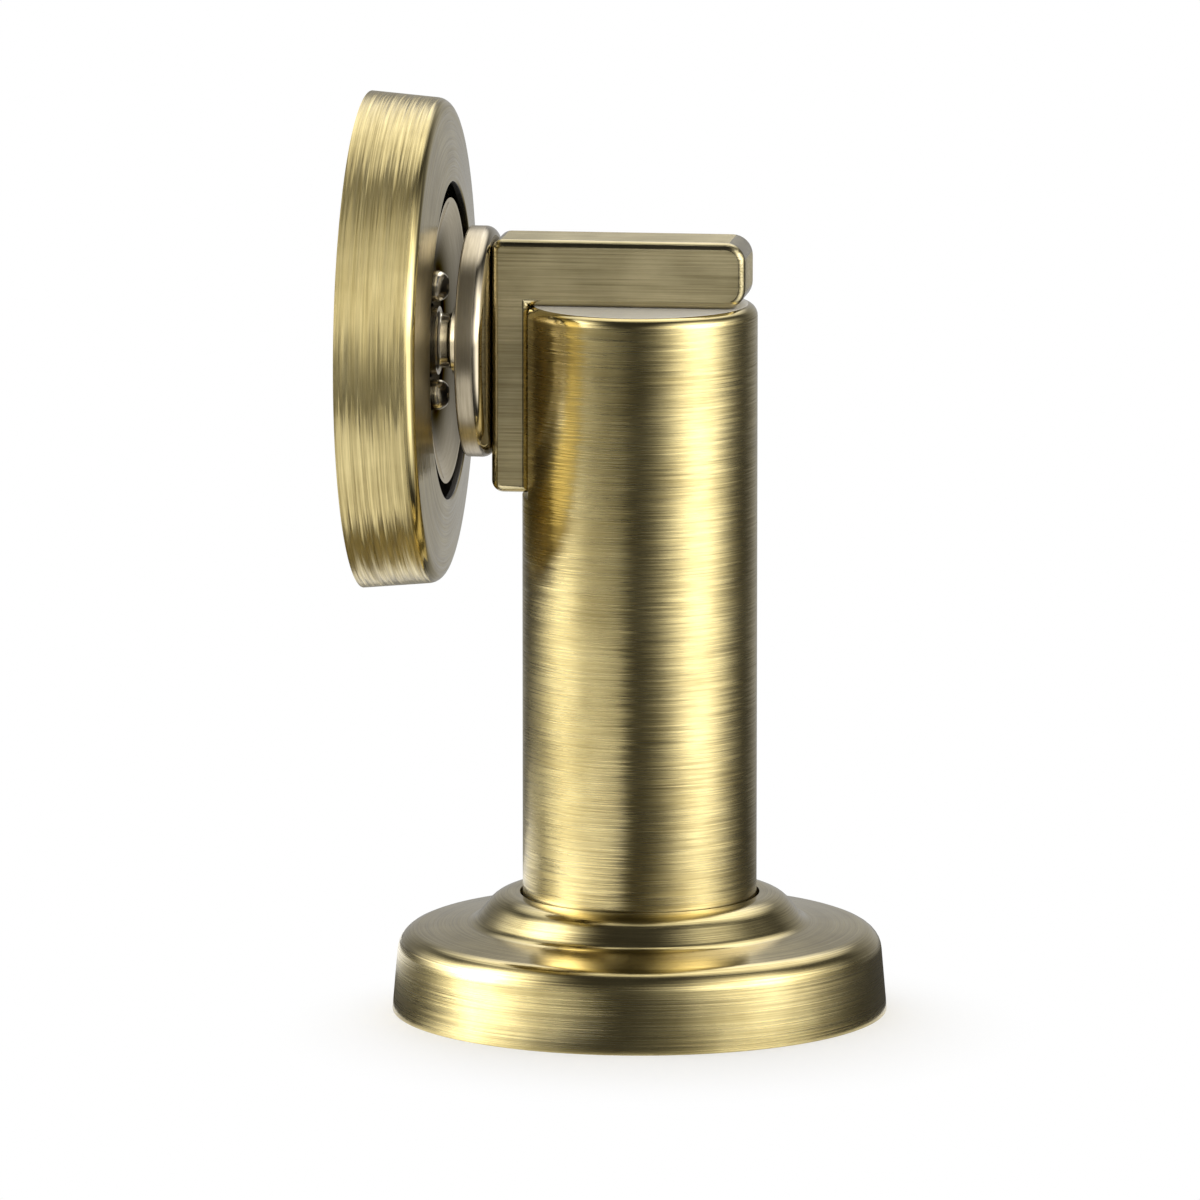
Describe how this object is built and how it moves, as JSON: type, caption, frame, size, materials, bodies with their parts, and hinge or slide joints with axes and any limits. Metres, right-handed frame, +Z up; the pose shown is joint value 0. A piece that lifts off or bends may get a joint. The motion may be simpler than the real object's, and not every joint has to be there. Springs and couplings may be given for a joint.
{
  "type": "magnetic door stop",
  "caption": "Floor-mounted magnetic door stop: turned base flange, round post, L bracket with a pot magnet, and a round door plate with a sprung strike that the magnet holds.",
  "frame": {"origin": "on the post's axis at floor level, at the centre of the floor plate's screw circle", "axes": "+Z up along the post; -X the way the magnet faces, towards the door"},
  "size_m": [0.0533, 0.0508, 0.0942],
  "materials": {
    "antique_brass": "brushed and lacquered antique brass",
    "raw_brass": "turned, unplated",
    "polished_nickel": "bright nickel plate",
    "magnet_grey": "ground sintered magnet",
    "zinc_steel": "bright zinc plate"
  },
  "bodies": {
    "stop": {"base_flange": "antique_brass", "floor_plate": "zinc_steel", "floor_stud": "zinc_steel", "post_tube": "antique_brass", "post_insert": "raw_brass", "head_bracket": "antique_brass", "bracket_screw": "zinc_steel", "lock_washer": "zinc_steel", "magnet_cup": "polished_nickel", "ring_magnet": "magnet_grey", "magnet_screw": "polished_nickel"},
    "door_plate": {"plate_cover": "antique_brass", "door_back_plate": "zinc_steel", "strike_dish": "polished_nickel", "dish_screws": "polished_nickel", "strike_spring": "zinc_steel"},
    "strike": {"strike_stud": "polished_nickel", "stud_clip": "zinc_steel"}
  },
  "joints": [
    {"name": "plate_release", "type": "slide", "parent": "stop", "child": "door_plate", "axis": [-1, 0, 0], "range_m": [0, 0.03]},
    {"name": "strike_float", "type": "slide", "parent": "door_plate", "child": "strike", "axis": [-1, 0, 0], "range_m": [0, 0.001], "stiffness_N_per_m": 2000, "springref_m": -0.001, "deforming": ["strike_spring"]}
  ]
}
